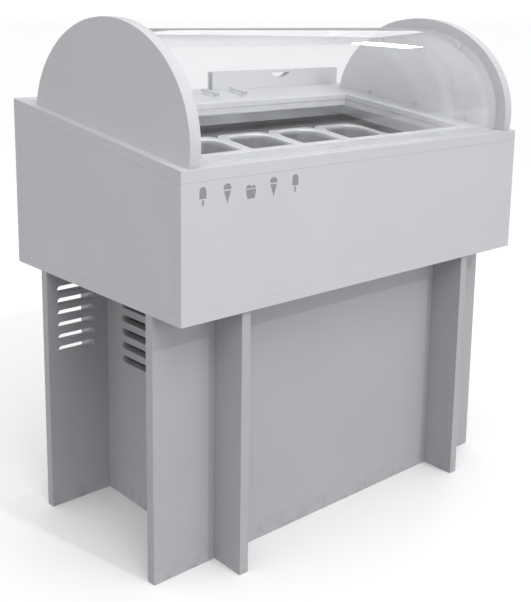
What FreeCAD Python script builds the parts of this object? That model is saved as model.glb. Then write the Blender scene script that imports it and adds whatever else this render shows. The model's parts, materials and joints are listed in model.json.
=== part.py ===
"""Ice cream dipping cabinet: a white laminate cabinet on a crossed-board stand.

Frame: millimetres, +Z up, origin on the floor under the middle of the box. The customer
stands at -Y, the operator at +Y. The top slopes up from the customer to the operator, so
the well, its pans and its frame are drawn level in a slope frame (x, s, h) and then tilted:
s runs up the slope from the front edge of the worktop and h stands square to it.
"""
import FreeCAD, Part
import math
import os

from FreeCAD import Placement, Rotation, Vector

# Driving sizes of the cabinet
WIDTH = 1030.0
DEPTH = 622.0
STAND_HEIGHT = 564.0
FRONT_TOP = 855.5
REAR_TOP = 941.5
BOARD = 22.0
WORKTOP_EDGE = 24.0
TOUCH = 0.3

HALF_WIDTH = WIDTH / 2
HALF_DEPTH = DEPTH / 2
SLOPE = math.degrees(math.atan2(REAR_TOP - FRONT_TOP, DEPTH))
BOX_FLOOR_TOP = STAND_HEIGHT + BOARD
TALL = 2000.0

# Stand: four boards crossed like a hash sign
SIDE_BOARD_FACE = 359.0
SIDE_BOARD_REACH = 301.0
FRONT_BOARD_FACE = -219.0
REAR_BOARD_FACE = 206.0
BAY_HALF_WIDTH = SIDE_BOARD_FACE - BOARD
BAY_FRONT = FRONT_BOARD_FACE + BOARD
BAY_REAR = REAR_BOARD_FACE - BOARD
VENT_ROWS = 6
VENT_HEIGHT = 16.0
REAR_VENT = {"start": -489.0, "end": -394.0, "lowest": 377.0, "pitch": 28.3}
SIDE_VENT = {"start": -132.0, "end": 119.0, "lowest": 347.0, "pitch": 32.5}

# Machine bay inside the stand
DECK_TOP = 58.0
DECK_THICK = 18.0
CLEAT = 20.0
SERVICE_OPENING = {"x": (-250.0, 86.0), "z": (100.0, 390.0)}
SERVICE_LAP = 22.0

# Half-round cheeks and the curved canopy, both upright ellipses about one centre
CHEEK_REACH = 279.5
CHEEK_RISE = 230.0
CHEEK_THICK = 25.0
CHEEK_INSET = 21.0
CANOPY_INSET = 23.5
CANOPY_THICK = 5.0
CANOPY_REAR_ANGLE = 125.0
CURVE_CENTRE_S = 282.6
GROOVE_DEPTH = 3.0
GROOVE_SLACK = 1.0

# Well, pans and tub, in the slope frame
WELL_LEFT = -426.0
WELL_RIGHT = 390.0
WELL_FRONT = 80.0
WELL_REAR = 461.0
FRAME_THICK = 6.0
FRAME_HEIGHT = 29.0
FRAME_STEP = 13.0
FRAME_REBATE = 1.5
LIP_REACH = 12.0
LIP_THICK = 1.6
TRIM_THICK = 4.0
TRIM_BOTTOM = 54.0
TUB_SETBACK = 22.0
TUB_SHEET = 2.0
TUB_CORNER = 22.0
TUB_FLOOR = 215.0
FOAM_THICK = 32.0
COIL_GAP = 11.0
COIL_RADIUS = 4.8
PAN_COUNT = 5
PAN_PITCH = 163.0
PAN_WIDTH = 162.0
PAN_LENGTH = 330.0
PAN_DEPTH = 120.0
PAN_RIM = 16.0
PAN_RIM_DEPTH = 69.0
PAN_FRONT = 91.0
PAN_SEAT = 9.0
PAN_SHEET = 1.5
PAN_CORNER = 44.5
PAN_RIM_CORNER = 28.0

# Lift-out access panel in the box's rear
PANEL_LEFT = 41.0
PANEL_RIGHT = 504.0
PANEL_FOOT = 640.0
PANEL_STAND_UP = 45.0
PANEL_SLACK = 1.0
GUIDE_WIDTH = 9.0
GUIDE_THICK = 6.0
FINGER_SLOT = {"x": 281.0, "width": 72.0, "height": 14.0, "below_top": 8.0}

# Controls on the operator side of the stand
CONTROL_MIDDLE = (215.0, 450.0)
CONTROL_SIZE = (190.0, 78.0)
CONTROL_PLATE_THICK = 2.0
KNOB_X = 270.0
SWITCH_X = 205.0
DISPLAY_X = 160.0
INLET_PLACE = (250.0, 150.0)


def block(x, y, z):
    """A box between the pairs x, y and z."""
    return Part.makeBox(x[1] - x[0], y[1] - y[0], z[1] - z[0], Vector(x[0], y[0], z[0]))


def rod(radius, start, end):
    """A round rod from one point to another."""
    along = Vector(*end) - Vector(*start)
    return Part.makeCylinder(radius, along.Length, Vector(*start), along)


def joined(shapes):
    """One solid from several that meet."""
    whole = shapes[0].multiFuse(shapes[1:])
    return whole.removeSplitter()


def mirrored(shape):
    """The shape on the other side of the cabinet's middle."""
    return shape.mirror(Vector(0, 0, 0), Vector(1, 0, 0))


def on_slope(shape):
    """Moves a shape from the slope frame onto the sloping worktop."""
    tilt = Placement(Vector(0, -HALF_DEPTH, FRONT_TOP), Rotation(Vector(1, 0, 0), SLOPE))
    placed = shape.copy()
    placed.Placement = tilt.multiply(placed.Placement)
    return placed


def slope_z(y):
    """Height of the worktop's surface at a depth y."""
    return FRONT_TOP + (y + HALF_DEPTH) * math.tan(math.radians(SLOPE))


def below_worktop(shape):
    """The part of a shape that lies under the worktop board."""
    section = [
        Vector(-TALL, -TALL, slope_z(-TALL) - WORKTOP_EDGE),
        Vector(-TALL, TALL, slope_z(TALL) - WORKTOP_EDGE),
        Vector(-TALL, TALL, TALL * 2),
        Vector(-TALL, -TALL, TALL * 2),
    ]
    above = Part.Face(Part.makePolygon(section + section[:1])).extrude(Vector(2 * TALL, 0, 0))
    return shape.cut(above)


def rounded_plate(x, y, z, radius):
    """A plate between the pairs x, y and z with round vertical corners."""
    plate = block(x, y, z)
    corners = [edge for edge in plate.Edges if edge.Length == plate.BoundBox.ZLength and is_upright(edge)]
    return plate.makeFillet(radius, corners)


def is_upright(edge):
    """True for an edge along Z."""
    ends = [vertex.Point for vertex in edge.Vertexes]
    return abs(ends[0].z - ends[1].z) > abs(ends[0].x - ends[1].x) + abs(ends[0].y - ends[1].y)


def ring(outer, inner):
    """A solid less the space inside it."""
    return outer.cut(inner)


def slot_along_x(x, y, z_middle, height):
    """A slot with round ends that runs along X and cuts through the pair y."""
    radius = height / 2
    middle = block((x[0] + radius, x[1] - radius), y, (z_middle - radius, z_middle + radius))
    ends = [rod(radius, (end, y[0], z_middle), (end, y[1], z_middle))
            for end in (x[0] + radius, x[1] - radius)]
    return joined([middle] + ends)


def slot_along_y(y, x, z_middle, height):
    """A slot with round ends that runs along Y and cuts through the pair x."""
    radius = height / 2
    middle = block(x, (y[0] + radius, y[1] - radius), (z_middle - radius, z_middle + radius))
    ends = [rod(radius, (x[0], end, z_middle), (x[1], end, z_middle))
            for end in (y[0] + radius, y[1] - radius)]
    return joined([middle] + ends)


def bent_tube(points, radius, bend):
    """A round bar along straight runs joined by tangent arcs of one bend radius."""
    corners = [Vector(*point) for point in points]
    edges = []
    start = corners[0]
    for before, corner, after in zip(corners, corners[1:], corners[2:]):
        back = (before - corner).normalize()
        ahead = (after - corner).normalize()
        half_turn = math.acos(max(-1.0, min(1.0, back.dot(ahead)))) / 2
        setback = bend / math.tan(half_turn)
        enter = corner + back * setback
        leave = corner + ahead * setback
        to_centre = (back + ahead).normalize()
        middle = corner + to_centre * (bend / math.sin(half_turn) - bend)
        edges.append(Part.LineSegment(start, enter).toShape())
        edges.append(Part.Arc(enter, middle, leave).toShape())
        start = leave
    edges.append(Part.LineSegment(start, corners[-1]).toShape())
    path = Part.Wire(edges)
    profile = Part.Wire(Part.makeCircle(radius, corners[0], corners[1] - corners[0]))
    return path.makePipeShell([profile], True, True)


def ellipse_profile(x, reach, rise, thick):
    """An upright elliptical disc about the cheeks' centre, from x towards +X."""
    centre = Vector(x, CURVE_Y, CURVE_Z)
    curve = Part.Ellipse(centre + Vector(0, reach, 0), centre + Vector(0, 0, rise), centre)
    face = Part.Face(Part.Wire(curve.toShape()))
    return face.extrude(Vector(thick, 0, 0))


def curve_point(reach, rise, degrees):
    """A point (y, z) on an ellipse about the cheeks' centre; 0 degrees points to the front."""
    turn = math.radians(degrees)
    return CURVE_Y - reach * math.cos(turn), CURVE_Z + rise * math.sin(turn)


CURVE_Y = -HALF_DEPTH + CURVE_CENTRE_S * math.cos(math.radians(SLOPE))
CURVE_Z = FRONT_TOP + CURVE_CENTRE_S * math.sin(math.radians(SLOPE))

# ---------------------------------------------------------------- stand


def notch_heights(upper):
    """From what height to what height a board is notched where it crosses another."""
    half = STAND_HEIGHT / 2
    return (half, STAND_HEIGHT) if upper else (0, half)


def stand_cross_board(y_front):
    """A board that runs left to right, notched from below for the side boards."""
    board = block((-HALF_WIDTH, HALF_WIDTH), (y_front, y_front + BOARD), (0, STAND_HEIGHT))
    for x in (-SIDE_BOARD_FACE, BAY_HALF_WIDTH):
        board = board.cut(block((x, x + BOARD), (y_front, y_front + BOARD), notch_heights(False)))
    return board


def stand_front_board():
    return stand_cross_board(FRONT_BOARD_FACE)


def stand_rear_board():
    """The rear board, with vents in its left wing and the operator's cut-outs."""
    board = stand_cross_board(BAY_REAR)
    through = (BAY_REAR - 1, REAR_BOARD_FACE + 1)
    for row in range(VENT_ROWS):
        height = REAR_VENT["lowest"] + row * REAR_VENT["pitch"]
        board = board.cut(slot_along_x((REAR_VENT["start"], REAR_VENT["end"]), through, height, VENT_HEIGHT))
    board = board.cut(block(SERVICE_OPENING["x"], through, SERVICE_OPENING["z"]))
    middle_x, middle_z = CONTROL_MIDDLE
    half_x, half_z = (side / 2 - 15 for side in CONTROL_SIZE)
    cut_out = block((middle_x - half_x, middle_x + half_x), through, (middle_z - half_z, middle_z + half_z))
    inlet_x, inlet_z = INLET_PLACE
    socket = block((inlet_x - 14, inlet_x + 14), through, (inlet_z - 12, inlet_z + 12))
    return board.cut(cut_out).cut(socket)


def stand_side_board_left():
    """A board that runs front to rear, notched from above, with the bay's vents."""
    face = -SIDE_BOARD_FACE
    board = block((face, face + BOARD), (-SIDE_BOARD_REACH, SIDE_BOARD_REACH), (0, STAND_HEIGHT))
    for y in (FRONT_BOARD_FACE, BAY_REAR):
        board = board.cut(block((face, face + BOARD), (y, y + BOARD), notch_heights(True)))
    through = (face - 1, face + BOARD + 1)
    for row in range(VENT_ROWS - 1):
        height = SIDE_VENT["lowest"] + row * SIDE_VENT["pitch"]
        board = board.cut(slot_along_y((SIDE_VENT["start"], SIDE_VENT["end"]), through, height, VENT_HEIGHT))
    return board


def stand_side_board_right():
    return mirrored(stand_side_board_left())


def stand_brackets():
    """Steel angles that tie the stand's boards to the box above, inside the bay."""
    angle = block((0, 40), (0, 3), (-40, 0)).fuse(block((0, 40), (0, 30), (-3, 0)))
    brackets = []
    for x in (-220, 180):
        front = angle.copy()
        front.translate(Vector(x, BAY_FRONT, STAND_HEIGHT))
        rear = angle.mirror(Vector(0, 0, 0), Vector(0, 1, 0))
        rear.translate(Vector(x, BAY_REAR, STAND_HEIGHT))
        brackets += [front, rear]
    return Part.makeCompound(brackets)


def bracket_screws():
    """Pan-head screws through the brackets, up into the box and out into the boards."""
    screws = []
    for x in (-200, 200):
        for y, outward in ((BAY_FRONT, -1), (BAY_REAR, 1)):
            under = y - outward * 18
            level = STAND_HEIGHT - 22
            upward = rod(4, (x, under, STAND_HEIGHT - 5), (x, under, STAND_HEIGHT - 3))
            sideways = rod(4, (x, y - outward * 5, level), (x, y - outward * 3, level))
            screws += [upward, sideways]
    return Part.makeCompound(screws)


def machine_deck():
    """The shelf inside the stand that carries the condensing unit."""
    return block((-BAY_HALF_WIDTH, BAY_HALF_WIDTH), (BAY_FRONT, BAY_REAR), (DECK_TOP - DECK_THICK, DECK_TOP))


def deck_cleats():
    """Battens screwed to the front and rear boards under the deck."""
    height = (DECK_TOP - DECK_THICK - CLEAT, DECK_TOP - DECK_THICK)
    front = block((-300, 300), (BAY_FRONT, BAY_FRONT + CLEAT), height)
    rear = block((-300, 300), (BAY_REAR - CLEAT, BAY_REAR), height)
    return Part.makeCompound([front, rear])


def service_cover():
    """The louvred steel cover over the service opening, on the operator side."""
    left, right = SERVICE_OPENING["x"]
    bottom, top = SERVICE_OPENING["z"]
    face = (REAR_BOARD_FACE, REAR_BOARD_FACE + 2)
    outline = (left - SERVICE_LAP, right + SERVICE_LAP)
    cover = block(outline, face, (bottom - SERVICE_LAP, top + SERVICE_LAP))
    for row in range(8):
        height = bottom + 40 + row * 30
        for middle in ((left * 3 + right) / 4, (left + right * 3) / 4):
            window = (face[0] - 1, face[1] + 1)
            cover = cover.cut(slot_along_x((middle - 65, middle + 65), window, height, 9))
    return cover


def service_cover_screws():
    """Four screws that hold the service cover."""
    left, right = (SERVICE_OPENING["x"][0] - 11, SERVICE_OPENING["x"][1] + 11)
    bottom, top = (SERVICE_OPENING["z"][0] - 11, SERVICE_OPENING["z"][1] + 11)
    face = REAR_BOARD_FACE + 2
    places = [(x, z) for x in (left, right) for z in (bottom, top)]
    return Part.makeCompound([rod(4, (x, face, z), (x, face + 2, z)) for x, z in places])


# ---------------------------------------------------------------- condensing unit


CONDENSER_X = (-318.0, -274.0)
CONDENSER_Y = (-136.0, 123.0)
CONDENSER_Z = (76.0, 330.0)
SHROUD_X = (-272.0, -270.0)
FAN_Y = (CONDENSER_Y[0] + CONDENSER_Y[1]) / 2
FAN_Z = (CONDENSER_Z[0] + CONDENSER_Z[1]) / 2
FAN_RADIUS = 98.0
FAN_X = (-252.0, -228.0)
FAN_BLADES = 5
MOTOR_X = (-224.0, -166.0)
UNIT_BASE_TOP = DECK_TOP + 3.0
COMPRESSOR_PLACE = (20.0, -10.0)
COMPRESSOR_RADIUS = 95.0
COMPRESSOR_FOOT = DECK_TOP + 21.0
COMPRESSOR_HEIGHT = 215.0
COMPRESSOR_DOME = 38.0
COMPRESSOR_WALL = 3.0
HALF_ROOT = math.sqrt(0.5)


def unit_base():
    """The steel tray that the condensing unit is bolted to."""
    plate = block((-330, 300), (-165, 150), (DECK_TOP, UNIT_BASE_TOP))
    lips = [block((-330, 300), (y, y + 3), (DECK_TOP, DECK_TOP + 15)) for y in (-165, 147)]
    return joined([plate] + lips)


def condenser_coil():
    """The finned block with its header plates and return bends."""
    core = block(CONDENSER_X, (CONDENSER_Y[0] + 3, CONDENSER_Y[1] - 3), CONDENSER_Z)
    plates = [block((CONDENSER_X[0] - 3, CONDENSER_X[1] + 1), (y, y + 3), (UNIT_BASE_TOP, CONDENSER_Z[1] + 4))
              for y in (CONDENSER_Y[0], CONDENSER_Y[1] - 3)]
    bends = []
    for row in range(5):
        height = CONDENSER_Z[0] + 27 + row * 50
        for y, away in ((CONDENSER_Y[0], -1), (CONDENSER_Y[1], 1)):
            middle = (CONDENSER_X[0] + CONDENSER_X[1]) / 2
            route = [(middle - 12, y, height), (middle - 12, y + away * 13, height),
                     (middle + 12, y + away * 13, height), (middle + 12, y, height)]
            bends.append(bent_tube(route, 4.0, 8.0))
    return joined([core] + plates + bends)


def fan_shroud():
    """The plate with a round mouth that joins the fan to the condenser."""
    plate = block(SHROUD_X, CONDENSER_Y, (UNIT_BASE_TOP, CONDENSER_Z[1]))
    mouth = FAN_RADIUS + 6
    collar = rod(mouth + 3, (SHROUD_X[0], FAN_Y, FAN_Z), (FAN_X[1], FAN_Y, FAN_Z))
    hole = rod(mouth, (SHROUD_X[0] - 1, FAN_Y, FAN_Z), (FAN_X[1] + 1, FAN_Y, FAN_Z))
    return joined([plate, collar]).cut(hole)


def condenser_fan():
    """The fan: five pitched blades on a hub."""
    hub = rod(24, (FAN_X[0], FAN_Y, FAN_Z), (FAN_X[1], FAN_Y, FAN_Z))
    bore = rod(4.2, (FAN_X[0] + 4, FAN_Y, FAN_Z), (FAN_X[1] + 1, FAN_Y, FAN_Z))
    middle = (FAN_X[0] + FAN_X[1]) / 2
    blades = []
    for index in range(FAN_BLADES):
        blade = block((-1.2, 1.2), (-27, 27), (20, FAN_RADIUS))
        blade.rotate(Vector(0, 0, 0), Vector(0, 0, 1), 62)
        blade.rotate(Vector(0, 0, 0), Vector(1, 0, 0), index * 360 / FAN_BLADES)
        blade.translate(Vector(middle, FAN_Y, FAN_Z))
        blades.append(blade)
    swept = joined([hub] + blades).cut(bore)
    return swept.common(rod(FAN_RADIUS, (FAN_X[0] - 3, FAN_Y, FAN_Z), (FAN_X[1] + 3, FAN_Y, FAN_Z)))


def fan_motor():
    """The fan's motor and shaft, on a foot bracket."""
    body = rod(36, (MOTOR_X[0], FAN_Y, FAN_Z), (MOTOR_X[1], FAN_Y, FAN_Z))
    shaft = rod(4, (FAN_X[0] + 5, FAN_Y, FAN_Z), (MOTOR_X[0], FAN_Y, FAN_Z))
    stand_x = MOTOR_X[0] + 20
    stand_y = (FAN_Y - 22, FAN_Y + 22)
    post = block((stand_x, stand_x + 4), stand_y, (UNIT_BASE_TOP, FAN_Z - 20))
    foot = block((stand_x, stand_x + 34), stand_y, (UNIT_BASE_TOP, UNIT_BASE_TOP + 3))
    return joined([body, shaft, post, foot])


def compressor_can(shrink):
    """The compressor's domed can, or with a shrink the space inside it."""
    x, y = COMPRESSOR_PLACE
    foot = COMPRESSOR_FOOT + 4 + shrink
    can = rod(COMPRESSOR_RADIUS - shrink, (x, y, foot), (x, y, COMPRESSOR_FOOT + COMPRESSOR_HEIGHT - shrink))
    upper_rim = [edge for edge in can.Edges if edge.BoundBox.ZMin > foot + 1]
    return can.makeFillet(COMPRESSOR_DOME - shrink, upper_rim)


def compressor_shell():
    """The welded compressor can with its seam, terminal cover and foot plate."""
    x, y = COMPRESSOR_PLACE
    seam_top = COMPRESSOR_FOOT + COMPRESSOR_HEIGHT - 86
    seam = rod(COMPRESSOR_RADIUS + 3, (x, y, seam_top - 6), (x, y, seam_top))
    plate = block((x - 105, x + 105), (y - 70, y + 70), (COMPRESSOR_FOOT, COMPRESSOR_FOOT + 4))
    cover = block((x + 70, x + COMPRESSOR_RADIUS + 28), (y - 30, y + 30),
                  (COMPRESSOR_FOOT + 50, COMPRESSOR_FOOT + 110))
    whole = joined([compressor_can(0), seam, plate, cover])
    return whole.cut(compressor_can(COMPRESSOR_WALL))


def compressor_motor():
    """The motor and pump block that stands inside the can."""
    x, y = COMPRESSOR_PLACE
    foot = COMPRESSOR_FOOT + 4 + COMPRESSOR_WALL
    stator = rod(60, (x, y, foot), (x, y, foot + 80))
    pump = block((x - 45, x + 45), (y - 38, y + 38), (foot + 80, foot + 130))
    return joined([stator, pump])


def compressor_mounts():
    """Four rubber grommets under the compressor's foot plate."""
    x, y = COMPRESSOR_PLACE
    places = [(x + side * 90, y + end * 55) for side in (-1, 1) for end in (-1, 1)]
    return Part.makeCompound([rod(13, (u, v, UNIT_BASE_TOP), (u, v, COMPRESSOR_FOOT)) for u, v in places])


def filter_drier():
    """The drier cartridge in the liquid line."""
    body = rod(13, (190, 120, 130), (190, 120, 235))
    caps = [Part.makeCone(13, 4, 14, Vector(190, 120, z), Vector(0, 0, up))
            for z, up in ((235, 1), (130, -1))]
    return joined([body] + caps)


def discharge_line():
    """The hot-gas pipe from the compressor to the condenser."""
    x, y = COMPRESSOR_PLACE
    start = (x - COMPRESSOR_RADIUS * HALF_ROOT, y + COMPRESSOR_RADIUS * HALF_ROOT, COMPRESSOR_FOOT + 110)
    outlet = (x - 98, y + 98)
    route = [start, (outlet[0], outlet[1], start[2]), (outlet[0], outlet[1], 350),
             (-296, outlet[1], 350), (-296, outlet[1], CONDENSER_Z[1])]
    return bent_tube(route, 4.0, 16.0)


def suction_line():
    """The return pipe from the well down to the compressor."""
    x, y = COMPRESSOR_PLACE
    port = COMPRESSOR_RADIUS * HALF_ROOT
    route = [(x + port, y + port, COMPRESSOR_FOOT + 110), (x + 100, y + 100, COMPRESSOR_FOOT + 110),
             (x + 100, y + 100, STAND_HEIGHT + BOARD)]
    return bent_tube(route, 6.0, 20.0)


def liquid_line():
    """The pipe from the drier up to the well's coil."""
    route = [(190, 120, 249), (190, 120, 420), (150, 120, 470), (150, 120, STAND_HEIGHT + BOARD)]
    return bent_tube(route, 3.0, 14.0)


def electrical_box():
    """The junction box on the unit's base."""
    return rounded_plate((200, 280), (-120, -60), (UNIT_BASE_TOP, 170), 5)


def supply_cable():
    """The lead clipped inside the bay from the power inlet to the junction box."""
    x, z = INLET_PLACE
    route = [(x, REAR_BOARD_FACE - 26, z), (x, 60, z), (x, -20, z - 8), (x, -60, z - 8)]
    return bent_tube(route, 3.5, 40.0)


# ---------------------------------------------------------------- controls


def control_plate():
    """The steel plate behind the knob, the switch and the display."""
    x, z = CONTROL_MIDDLE
    half_x, half_z = CONTROL_SIZE[0] / 2, CONTROL_SIZE[1] / 2
    face = (REAR_BOARD_FACE, REAR_BOARD_FACE + CONTROL_PLATE_THICK)
    plate = block((x - half_x, x + half_x), face, (z - half_z, z + half_z))
    through = (face[0] - 1, face[1] + 1)
    plate = plate.cut(rod(6, (KNOB_X, through[0], z), (KNOB_X, through[1], z)))
    plate = plate.cut(block((SWITCH_X - 10, SWITCH_X + 10), through, (z - 15, z + 15)))
    return plate.cut(block((DISPLAY_X - 23, DISPLAY_X + 23), through, (z - 13, z + 13)))


def control_plate_screws():
    """Four small screws at the control plate's corners."""
    x, z = CONTROL_MIDDLE
    face = REAR_BOARD_FACE + CONTROL_PLATE_THICK
    places = [(x + side * 89, z + end * 33) for side in (-1, 1) for end in (-1, 1)]
    return Part.makeCompound([rod(3, (u, face, v), (u, face + 1.6, v)) for u, v in places])


def thermostat_body():
    """The thermostat behind the plate, with its spindle."""
    z = CONTROL_MIDDLE[1]
    case = block((KNOB_X - 17, KNOB_X + 17), (BAY_REAR - 10, REAR_BOARD_FACE), (z - 20, z + 20))
    spindle = rod(3, (KNOB_X, REAR_BOARD_FACE, z), (KNOB_X, REAR_BOARD_FACE + 16, z))
    return joined([case, spindle])


def thermostat_knob():
    """The knob: a round grip with a pointer ridge."""
    z = CONTROL_MIDDLE[1]
    foot = REAR_BOARD_FACE + CONTROL_PLATE_THICK + 0.6
    skirt = rod(19, (KNOB_X, foot, z), (KNOB_X, foot + 4, z))
    grip = rod(14, (KNOB_X, foot + 4, z), (KNOB_X, foot + 20, z))
    ridge = block((KNOB_X - 2, KNOB_X + 2), (foot + 4, foot + 22), (z, z + 17))
    socket = rod(3.2, (KNOB_X, foot - 1, z), (KNOB_X, REAR_BOARD_FACE + 16.4, z))
    return joined([skirt, grip, ridge]).cut(socket)


def switch_housing():
    """The rocker's frame, snapped into the control plate."""
    z = CONTROL_MIDDLE[1]
    face = REAR_BOARD_FACE + CONTROL_PLATE_THICK
    flange = block((SWITCH_X - 13, SWITCH_X + 13), (face, face + 2), (z - 18, z + 18))
    case = block((SWITCH_X - 10, SWITCH_X + 10), (BAY_REAR, face), (z - 15, z + 15))
    well = block((SWITCH_X - 8, SWITCH_X + 8), (face - 10, face + 3), (z - 13, z + 13))
    return joined([flange, case]).cut(well)


def power_switch():
    """The rocker, which tips about a crosswise pin."""
    z = CONTROL_MIDDLE[1]
    face = REAR_BOARD_FACE + CONTROL_PLATE_THICK
    outline = [
        Vector(SWITCH_X - 7.6, face - 4, z - 11.5),
        Vector(SWITCH_X - 7.6, face - 4, z + 11.5),
        Vector(SWITCH_X - 7.6, face + 1.5, z + 11.5),
        Vector(SWITCH_X - 7.6, face + 3.2, z),
        Vector(SWITCH_X - 7.6, face + 4.4, z - 11.5),
    ]
    return Part.Face(Part.makePolygon(outline + outline[:1])).extrude(Vector(15.2, 0, 0))


def temperature_display():
    """The thermometer module with its window frame."""
    z = CONTROL_MIDDLE[1]
    face = REAR_BOARD_FACE + CONTROL_PLATE_THICK
    frame = block((DISPLAY_X - 27, DISPLAY_X + 27), (face, face + 3), (z - 17, z + 17))
    window = block((DISPLAY_X - 20, DISPLAY_X + 20), (face + 2, face + 4), (z - 10, z + 10))
    case = block((DISPLAY_X - 23, DISPLAY_X + 23), (BAY_REAR, face), (z - 13, z + 13))
    return joined([frame, case]).cut(window)


def power_inlet():
    """The appliance inlet with three contacts in its recess."""
    x, z = INLET_PLACE
    flange = block((x - 25, x + 25), (REAR_BOARD_FACE, REAR_BOARD_FACE + 3), (z - 16, z + 16))
    case = block((x - 14, x + 14), (REAR_BOARD_FACE - 26, REAR_BOARD_FACE), (z - 12, z + 12))
    recess = block((x - 12, x + 12), (REAR_BOARD_FACE - 15, REAR_BOARD_FACE + 4), (z - 8.5, z + 8.5))
    reach = (REAR_BOARD_FACE - 15, REAR_BOARD_FACE)
    pins = [block((x + side - 2, x + side + 2), reach, (z + up - 1, z + up + 1))
            for side, up in ((-7, -2), (0, 2), (7, -2))]
    return joined([flange.fuse(case).cut(recess)] + pins)


# ---------------------------------------------------------------- box


def box_bottom_panel():
    """The box's floor, with holes for the pipes and the drain."""
    panel = block((-HALF_WIDTH, HALF_WIDTH), (-HALF_DEPTH, HALF_DEPTH), (STAND_HEIGHT, BOX_FLOOR_TOP))
    pipes = block((100, 170), (75, 135), (STAND_HEIGHT - 1, BOX_FLOOR_TOP + 1))
    return panel.cut(pipes).cut(drain_bore(12, BOX_FLOOR_TOP + 1, STAND_HEIGHT - 1))


def box_front_panel():
    """The customer's side of the box."""
    tall = block((-HALF_WIDTH, HALF_WIDTH), (-HALF_DEPTH, -HALF_DEPTH + BOARD), (BOX_FLOOR_TOP, TALL))
    return below_worktop(tall)


def box_rear_panel():
    """The operator's side of the box, cut out for the lift-out access panel."""
    tall = block((-HALF_WIDTH, HALF_WIDTH), (HALF_DEPTH - BOARD, HALF_DEPTH), (BOX_FLOOR_TOP, TALL))
    mouth = block((PANEL_LEFT - PANEL_SLACK, PANEL_RIGHT + PANEL_SLACK),
                  (HALF_DEPTH - BOARD - 1, HALF_DEPTH + 1), (PANEL_FOOT - 1, TALL))
    return below_worktop(tall).cut(mouth)


def box_side_panel_left():
    """An end of the box, between the front and rear panels."""
    depth = (-HALF_DEPTH + BOARD, HALF_DEPTH - BOARD)
    return below_worktop(block((-HALF_WIDTH, -HALF_WIDTH + BOARD), depth, (BOX_FLOOR_TOP, TALL)))


def box_side_panel_right():
    return mirrored(box_side_panel_left())


def box_corner_cleats():
    """Battens in the box's four corners that the panels are screwed to."""
    inner_x = HALF_WIDTH - BOARD
    inner_y = HALF_DEPTH - BOARD
    cleats = []
    for x in (-inner_x, inner_x - CLEAT):
        for y in (-inner_y, inner_y - CLEAT):
            cleats.append(below_worktop(block((x, x + CLEAT), (y, y + CLEAT), (BOX_FLOOR_TOP, TALL))))
    return Part.makeCompound(cleats)


def well_block(grow, height):
    """A block as wide and long as the well's mouth, grown by a margin, in the slope frame."""
    return block((WELL_LEFT - grow, WELL_RIGHT + grow), (WELL_FRONT - grow, WELL_REAR + grow), height)


def worktop():
    """The sloping top board with the well's opening and the canopy's groove."""
    section = [
        Vector(-HALF_WIDTH, -HALF_DEPTH, FRONT_TOP - WORKTOP_EDGE),
        Vector(-HALF_WIDTH, HALF_DEPTH, REAR_TOP - WORKTOP_EDGE),
        Vector(-HALF_WIDTH, HALF_DEPTH, REAR_TOP),
        Vector(-HALF_WIDTH, -HALF_DEPTH, FRONT_TOP),
    ]
    board = Part.Face(Part.makePolygon(section + section[:1])).extrude(Vector(WIDTH, 0, 0))
    opening = well_block(FRAME_THICK, (-60, 60))
    board = board.cut(on_slope(opening))
    notch = block((PANEL_LEFT - PANEL_SLACK, PANEL_RIGHT + PANEL_SLACK),
                  (HALF_DEPTH - BOARD - PANEL_SLACK, HALF_DEPTH + 1), (0, TALL))
    return board.cut(notch).cut(canopy_groove())


def canopy_groove():
    """The shallow groove that the canopy's front edge drops into."""
    front = slope_contact(CHEEK_REACH - CANOPY_INSET, CHEEK_RISE - CANOPY_INSET)
    rear = slope_contact(CHEEK_REACH - CANOPY_INSET - CANOPY_THICK, CHEEK_RISE - CANOPY_INSET - CANOPY_THICK)
    half = HALF_WIDTH - CHEEK_INSET - CHEEK_THICK
    return on_slope(block((-half, half), (front - GROOVE_SLACK, rear + GROOVE_SLACK), (-GROOVE_DEPTH, 30)))


def slope_contact(reach, rise):
    """Where, along s, the front of an ellipse about the cheeks' centre meets the worktop."""
    turn = math.radians(SLOPE)
    return CURVE_CENTRE_S - 1 / math.hypot(math.cos(turn) / reach, math.sin(turn) / rise)


def rear_access_panel():
    """The panel that lifts out of the box's rear, with its finger slot."""
    top = REAR_TOP + PANEL_STAND_UP
    depth = (HALF_DEPTH - BOARD, HALF_DEPTH)
    panel = block((PANEL_LEFT, PANEL_RIGHT), depth, (PANEL_FOOT, top))
    middle = HALF_DEPTH - BOARD / 2
    half_groove = GUIDE_THICK / 2 + 0.5
    groove = (middle - half_groove, middle + half_groove)
    for x in (PANEL_LEFT, PANEL_RIGHT - GUIDE_WIDTH):
        panel = panel.cut(block((x, x + GUIDE_WIDTH), groove, (0, TALL)))
    return panel.cut(finger_slot(depth, top - FINGER_SLOT["below_top"]))


def finger_slot(depth, flat_top):
    """A half-moon slot with a flat top, cut through the access panel."""
    chord = FINGER_SLOT["width"]
    rise = FINGER_SLOT["height"]
    radius = (chord * chord / 4 + rise * rise) / (2 * rise)
    centre = flat_top - rise + radius
    disc = rod(radius, (FINGER_SLOT["x"], depth[0] - 1, centre), (FINGER_SLOT["x"], depth[1] + 1, centre))
    return disc.common(block((-TALL, TALL), (depth[0] - 1, depth[1] + 1), (0, flat_top)))


def access_panel_guides():
    """Aluminium strips in the cut-out's edges that the access panel slides on."""
    middle = HALF_DEPTH - BOARD / 2
    depth = (middle - GUIDE_THICK / 2, middle + GUIDE_THICK / 2)
    height = (PANEL_FOOT + 5, slope_z(HALF_DEPTH - BOARD) - WORKTOP_EDGE)
    left_edge = PANEL_LEFT - PANEL_SLACK
    right_edge = PANEL_RIGHT + PANEL_SLACK
    left = block((left_edge, left_edge + GUIDE_WIDTH - 0.5), depth, height)
    right = block((right_edge - GUIDE_WIDTH + 0.5, right_edge), depth, height)
    return Part.makeCompound([left, right])


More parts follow.
